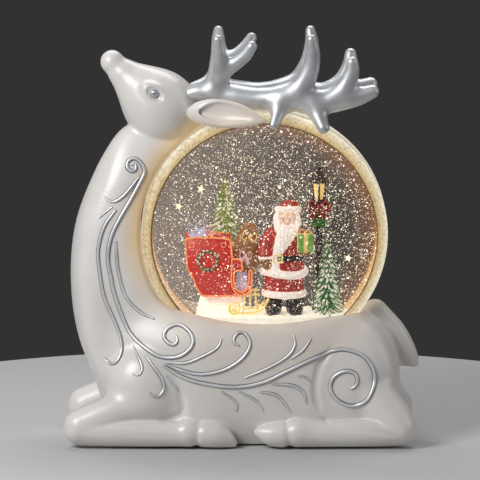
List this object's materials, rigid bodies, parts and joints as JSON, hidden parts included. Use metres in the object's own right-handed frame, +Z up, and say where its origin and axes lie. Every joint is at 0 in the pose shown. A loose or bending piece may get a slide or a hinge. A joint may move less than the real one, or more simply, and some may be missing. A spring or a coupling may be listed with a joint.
{
  "type": "snow globe",
  "caption": "Reclining reindeer housing that holds a clear round water globe with a lit winter scene, motor-driven glitter swirl and batteries in its base.",
  "frame": {"origin": "on the resting plane under the middle of the object's bounding box", "axes": "+Z up; -X is the way the reindeer looks and +X its tail; the reindeer's left side, with the ear and antler nearest the viewer, faces -Y; +Y is the far side"},
  "size_m": [0.2239, 0.099, 0.2593],
  "materials": {
    "housing": "satin",
    "antler_silver": "satin",
    "eye_bead": "polished",
    "clear_shell": "polished",
    "fluid": "clear",
    "dark_plastic": "moulded",
    "rubber_black": "matte",
    "steel": "satin",
    "white_plastic": "moulded",
    "magnet": "plated",
    "snow": "matte",
    "painted_red": "painted",
    "painted_gold": "painted",
    "painted_green": "painted",
    "painted_brown": "painted",
    "painted_black": "painted",
    "gift_wrap": "painted",
    "lamp_amber": "translucent",
    "base_cream": "moulded",
    "cell_jacket": "foil jacket",
    "spring_steel": "plated",
    "bronze": "sintered",
    "ferrite": "matte",
    "rotor": "laminated",
    "circuit_green": "laminate",
    "lamp_clear": "lit",
    "chip_black": "moulded",
    "wire_red": "matte",
    "wire_blue": "matte",
    "wire_white": "matte"
  },
  "bodies": {
    "globe_base": {"left_body_shell": "housing", "right_body_shell": "housing", "left_antler": "antler_silver", "right_antler": "antler_silver", "left_ear": "housing", "right_ear": "housing", "left_eye": "eye_bead", "right_eye": "eye_bead", "front_globe_shell": "clear_shell", "rear_globe_shell": "clear_shell", "globe_fluid": "fluid", "port_plug": "dark_plastic", "port_oring": "rubber_black", "impeller_pin": "steel", "impeller_guard": "white_plastic", "snow_ground": "snow", "santa_figure": "painted_red", "held_gift": "painted_green", "sleigh_body": "painted_red", "sleigh_runners": "painted_gold", "sleigh_gifts": "gift_wrap", "toy_sack": "painted_brown", "back_pine_tree": "painted_green", "front_pine_tree": "painted_green", "lamp_post": "painted_black", "lamp_glass": "lamp_amber", "lamp_bow": "painted_red", "base_plate": "base_cream", "base_screws": "steel", "rubber_feet": "rubber_black", "battery_cells": "cell_jacket", "battery_springs": "spring_steel", "battery_contacts": "spring_steel", "motor_cradle": "base_cream", "motor_can": "steel", "motor_stator_magnets": "ferrite", "motor_bush": "bronze", "led_board": "circuit_green", "led_lamps": "lamp_clear", "control_board": "circuit_green", "board_components": "chip_black", "switch_body": "steel", "battery_leads": "wire_red", "motor_leads": "wire_blue", "led_leads": "wire_white"},
    "battery_door": {"battery_door": "base_cream"},
    "door_screw": {"battery_door_screw": "steel"},
    "switch_knob": {"switch_knob": "dark_plastic"},
    "drive_rotor": {"motor_rotor": "rotor", "drive_magnet_carrier": "white_plastic", "drive_magnets": "magnet"},
    "impeller": {"impeller": "white_plastic", "impeller_magnets": "magnet"}
  },
  "joints": [
    {"name": "battery_door_lift_off", "type": "slide", "parent": "globe_base", "child": "battery_door", "axis": [0, 0, -1], "range_m": [0, 0.03]},
    {"name": "door_screw_turn", "type": "hinge", "parent": "battery_door", "child": "door_screw", "pos_m": [-0.033, -0.0076, 0.003], "axis": [0, 0, 1], "continuous": true},
    {"name": "switch_slide", "type": "slide", "parent": "globe_base", "child": "switch_knob", "axis": [1, 0, 0], "range_m": [-0.003, 0.003]},
    {"name": "drive_spin", "type": "hinge", "parent": "globe_base", "child": "drive_rotor", "pos_m": [0.014, 0, 0.04], "axis": [0, 0, 1], "continuous": true},
    {"name": "impeller_spin", "type": "hinge", "parent": "globe_base", "child": "impeller", "pos_m": [0.014, 0, 0.058], "axis": [0, 0, 1], "continuous": true}
  ],
  "couplings": [
    {"joint": "impeller_spin", "follows": "drive_spin", "ratio": 1}
  ]
}
